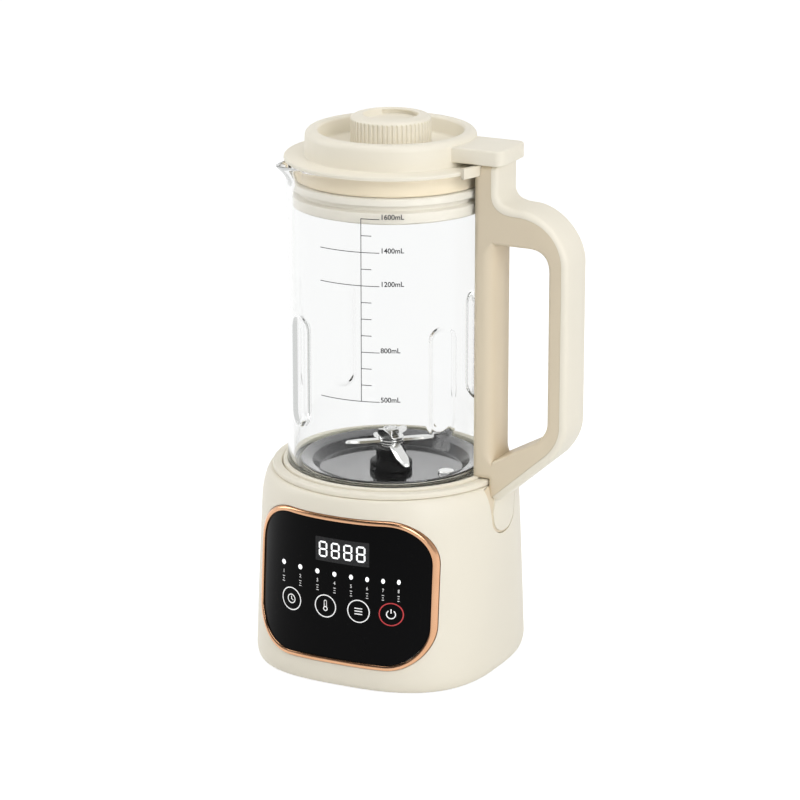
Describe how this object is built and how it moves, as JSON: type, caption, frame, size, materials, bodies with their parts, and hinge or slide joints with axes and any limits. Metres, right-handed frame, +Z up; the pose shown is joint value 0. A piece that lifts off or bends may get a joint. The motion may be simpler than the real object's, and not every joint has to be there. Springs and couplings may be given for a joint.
{
  "type": "soy milk maker",
  "caption": "Countertop soy milk maker: cream motor base with touch panel, heated glass blending jug with handle, blades, lid and filler cap.",
  "frame": {"origin": "under the middle of the whole object's box, on the table that the feet stand on", "axes": "+Z up along the jug's axis, +X towards the handle, -Y towards the control panel"},
  "size_m": [0.1918, 0.146, 0.3268],
  "materials": {
    "cream_plastic": "smooth satin cream plastic",
    "beige_plastic": "smooth satin beige plastic",
    "ivory_plastic": "smooth satin ivory plastic",
    "dark_plastic": "fine textured black plastic",
    "panel_black": "black printed cover, polished",
    "rose_gold": "polished rose gold plating",
    "jug_glass": "clear borosilicate glass",
    "nonstick_plate": "dark grey non-stick coating",
    "steel": "polished stainless steel",
    "silicone": "milky white silicone",
    "grey_rubber": "matte grey rubber",
    "motor_iron": "laminated iron and plated brackets",
    "copper": "enamelled copper wire and bronze",
    "circuit_board": "green circuit board"
  },
  "bodies": {
    "base": {"base_shell": "cream_plastic", "bottom_plate": "dark_plastic", "base_screw_1": "steel", "base_screw_2": "steel", "base_screw_3": "steel", "foot_1": "grey_rubber", "foot_2": "grey_rubber", "foot_3": "grey_rubber", "foot_4": "grey_rubber", "panel_glass": "panel_black", "bezel_ring": "rose_gold", "display_board": "circuit_board", "jug_seat": "cream_plastic", "dock_liner": "cream_plastic", "motor_stator": "motor_iron", "field_coil_left": "copper", "field_coil_right": "copper", "lower_motor_bracket": "motor_iron", "upper_motor_bracket": "motor_iron", "lower_motor_bearing": "steel", "upper_motor_bearing": "steel", "brush_holder_left": "dark_plastic", "brush_holder_right": "dark_plastic", "power_inlet": "dark_plastic", "inlet_pin_live": "steel", "inlet_pin_earth": "steel", "inlet_pin_neutral": "steel", "power_board": "circuit_board", "connector_socket": "dark_plastic"},
    "rotor": {"motor_armature": "copper", "motor_shaft": "steel", "cooling_fan": "dark_plastic", "drive_coupling": "dark_plastic"},
    "jug": {"glass_jug": "jug_glass", "jug_collar": "cream_plastic", "heating_plate": "nonstick_plate", "plate_gasket": "silicone", "heater_element": "motor_iron", "temperature_sensor": "steel", "bearing_housing": "dark_plastic", "housing_nut": "steel", "shaft_bush": "copper", "shaft_seal": "grey_rubber", "connector_plug": "dark_plastic", "handle_inner": "beige_plastic", "handle_outer": "cream_plastic", "rim_clip": "ivory_plastic", "lid_switch": "dark_plastic"},
    "blades": {"blade_shaft": "steel", "lower_blade": "steel", "middle_blade": "steel", "upper_blade": "steel", "blade_nut": "steel", "driven_coupling": "steel"},
    "lid": {"lid_body": "cream_plastic", "lid_seal": "silicone", "lid_magnet": "steel"},
    "cap": {"cap_plug": "ivory_plastic", "cap_seal": "silicone"},
    "knob": {"cap_knob": "cream_plastic"}
  },
  "joints": [
    {"name": "jug_lift", "type": "slide", "parent": "base", "child": "jug", "axis": [0, 0, 1], "range_m": [0, 0.13]},
    {"name": "motor_spin", "type": "hinge", "parent": "base", "child": "rotor", "pos_m": [-0.02205, 0.00064, 0.05], "axis": [0, 0, 1], "continuous": true},
    {"name": "blade_spin", "type": "hinge", "parent": "jug", "child": "blades", "pos_m": [-0.02205, 0.00064, 0.12], "axis": [0, 0, 1], "continuous": true},
    {"name": "lid_lift", "type": "slide", "parent": "jug", "child": "lid", "axis": [0, 0, 1], "range_m": [0, 0.08]},
    {"name": "cap_lift", "type": "slide", "parent": "lid", "child": "cap", "axis": [0, 0, 1], "range_m": [0, 0.05]},
    {"name": "cap_turn", "type": "hinge", "parent": "cap", "child": "knob", "pos_m": [-0.02205, 0.00064, 0.315], "axis": [0, 0, 1], "range_deg": [0, 60]}
  ],
  "couplings": [
    {"joint": "blade_spin", "follows": "motor_spin", "ratio": 1}
  ]
}
